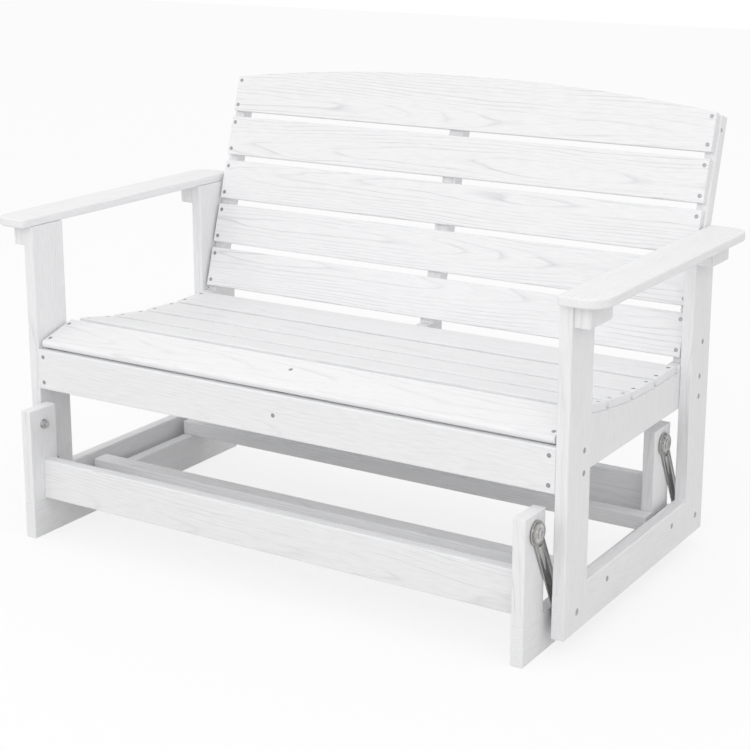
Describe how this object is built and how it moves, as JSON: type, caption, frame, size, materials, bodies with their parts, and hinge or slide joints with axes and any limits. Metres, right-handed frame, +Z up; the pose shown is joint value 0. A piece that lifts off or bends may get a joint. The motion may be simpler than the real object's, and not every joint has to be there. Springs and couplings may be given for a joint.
{
  "type": "glider bench",
  "caption": "Slatted glider bench with armrests and an arched slatted back, hung by swinging links from a fixed base.",
  "frame": {"origin": "on the floor, midway between the two sides, at the middle of the whole bench from front to back", "axes": "+Z up, -Y towards where the sitter faces, +X to the right as seen from the front"},
  "size_m": [1.368, 0.8306, 0.9182],
  "materials": {
    "plastic_lumber": "white, moulded wood grain, satin",
    "link_steel": "pressed stainless steel, polished",
    "bearing_steel": "ground bearing steel",
    "bolt_steel": "stainless steel",
    "screw_steel": "stainless steel, dull"
  },
  "bodies": {
    "base": {"base_front_rail": "plastic_lumber", "base_front_stretcher": "plastic_lumber", "base_post_front_left": "plastic_lumber", "base_post_front_right": "plastic_lumber", "base_post_rear_left": "plastic_lumber", "base_post_rear_right": "plastic_lumber", "base_rear_rail": "plastic_lumber", "base_rear_stretcher": "plastic_lumber", "base_runner_left": "plastic_lumber", "base_runner_right": "plastic_lumber", "base_screws": "screw_steel", "upper_pivot_bolts": "bolt_steel", "upper_pivot_nuts": "bolt_steel", "upper_pivot_spacers": "bolt_steel"},
    "glide_link_front_right": {"glide_link_front_right": "link_steel", "glide_bearings_front_right": "bearing_steel"},
    "glide_link_front_left": {"glide_link_front_left": "link_steel", "glide_bearings_front_left": "bearing_steel"},
    "glide_link_rear_right": {"glide_link_rear_right": "link_steel", "glide_bearings_rear_right": "bearing_steel"},
    "glide_link_rear_left": {"glide_link_rear_left": "link_steel", "glide_bearings_rear_left": "bearing_steel"},
    "bench": {"arm_cleat_front_left": "plastic_lumber", "arm_cleat_front_right": "plastic_lumber", "arm_cleat_rear_left": "plastic_lumber", "arm_cleat_rear_right": "plastic_lumber", "arm_screws": "screw_steel", "armrest_left": "plastic_lumber", "armrest_right": "plastic_lumber", "back_slat_1": "plastic_lumber", "back_slat_2": "plastic_lumber", "back_slat_3": "plastic_lumber", "back_slat_4": "plastic_lumber", "back_slat_5": "plastic_lumber", "back_slat_screws": "screw_steel", "back_stile_left": "plastic_lumber", "back_stile_middle": "plastic_lumber", "back_stile_right": "plastic_lumber", "back_top_rail": "plastic_lumber", "bottom_rail_left": "plastic_lumber", "bottom_rail_right": "plastic_lumber", "frame_screws": "screw_steel", "front_apron": "plastic_lumber", "leg_front_left": "plastic_lumber", "leg_front_right": "plastic_lumber", "leg_rear_left": "plastic_lumber", "leg_rear_right": "plastic_lumber", "lower_pivot_bolts": "bolt_steel", "lower_pivot_rings": "bolt_steel", "lower_pivot_spacers": "bolt_steel", "rear_seat_rail": "plastic_lumber", "seat_joist_middle": "plastic_lumber", "seat_rail_left": "plastic_lumber", "seat_rail_right": "plastic_lumber", "seat_slat_1": "plastic_lumber", "seat_slat_2": "plastic_lumber", "seat_slat_3": "plastic_lumber", "seat_slat_4": "plastic_lumber", "seat_slat_5": "plastic_lumber", "seat_slat_screws": "screw_steel"}
  },
  "joints": [
    {"name": "glide_front_right", "type": "hinge", "parent": "base", "child": "glide_link_front_right", "pos_m": [0.587, -0.37677, 0.2405], "axis": [1, 0, 0], "range_deg": [-60, 5]},
    {"name": "glide_front_left", "type": "hinge", "parent": "base", "child": "glide_link_front_left", "pos_m": [-0.587, -0.37677, 0.2405], "axis": [1, 0, 0], "range_deg": [-60, 5]},
    {"name": "glide_rear_right", "type": "hinge", "parent": "base", "child": "glide_link_rear_right", "pos_m": [0.587, 0.18323, 0.2405], "axis": [1, 0, 0], "range_deg": [-60, 5]},
    {"name": "glide_rear_left", "type": "hinge", "parent": "base", "child": "glide_link_rear_left", "pos_m": [-0.587, 0.18323, 0.2405], "axis": [1, 0, 0], "range_deg": [-60, 5]},
    {"name": "bench_hang", "type": "hinge", "parent": "glide_link_front_right", "child": "bench", "pos_m": [0.587, -0.28673, 0.06753], "axis": [1, 0, 0], "range_deg": [-5, 60]}
  ],
  "couplings": [
    {"joint": "bench_hang", "follows": "glide_front_right", "ratio": -1},
    {"joint": "glide_front_left", "follows": "glide_front_right", "ratio": 1},
    {"joint": "glide_rear_right", "follows": "glide_front_right", "ratio": 1},
    {"joint": "glide_rear_left", "follows": "glide_front_right", "ratio": 1}
  ]
}
